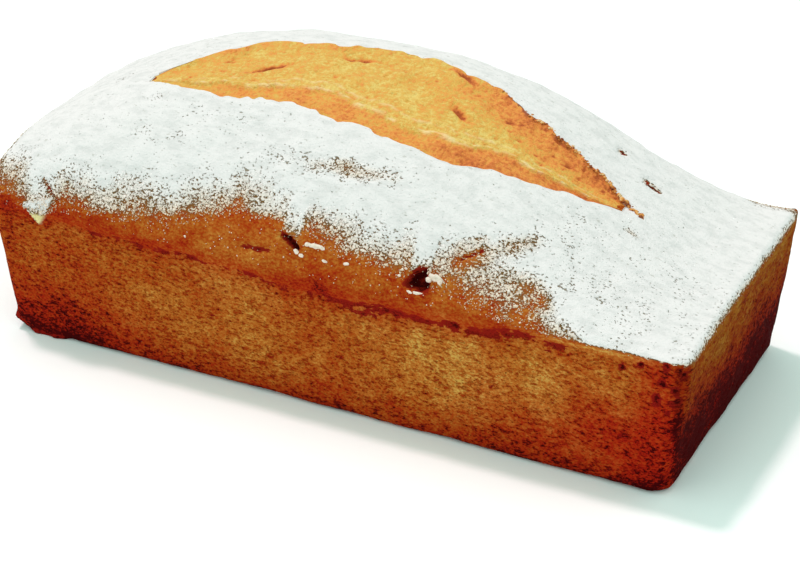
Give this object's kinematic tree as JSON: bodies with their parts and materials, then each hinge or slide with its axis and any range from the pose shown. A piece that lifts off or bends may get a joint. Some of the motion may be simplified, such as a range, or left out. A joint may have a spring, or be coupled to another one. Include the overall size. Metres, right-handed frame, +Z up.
{
  "type": "pound cake loaf",
  "caption": "Whole pound cake loaf with tapered walls, a high dome split along its top, and a dusting of icing sugar.",
  "frame": {"origin": "middle of the flat base, on the surface that the loaf stands on", "axes": "+X along the loaf towards its lower end, -Y towards its front, +Z up"},
  "size_m": [0.2502, 0.1093, 0.0966],
  "materials": {
    "crust": "dry baked crust, pitted, browned darker at the foot and the corners",
    "crumb": "moist golden crumb that shows in the split",
    "sugar": "dry icing sugar, powdery and uneven"
  },
  "bodies": {
    "root": {"loaf": "crust"}
  },
  "joints": []
}
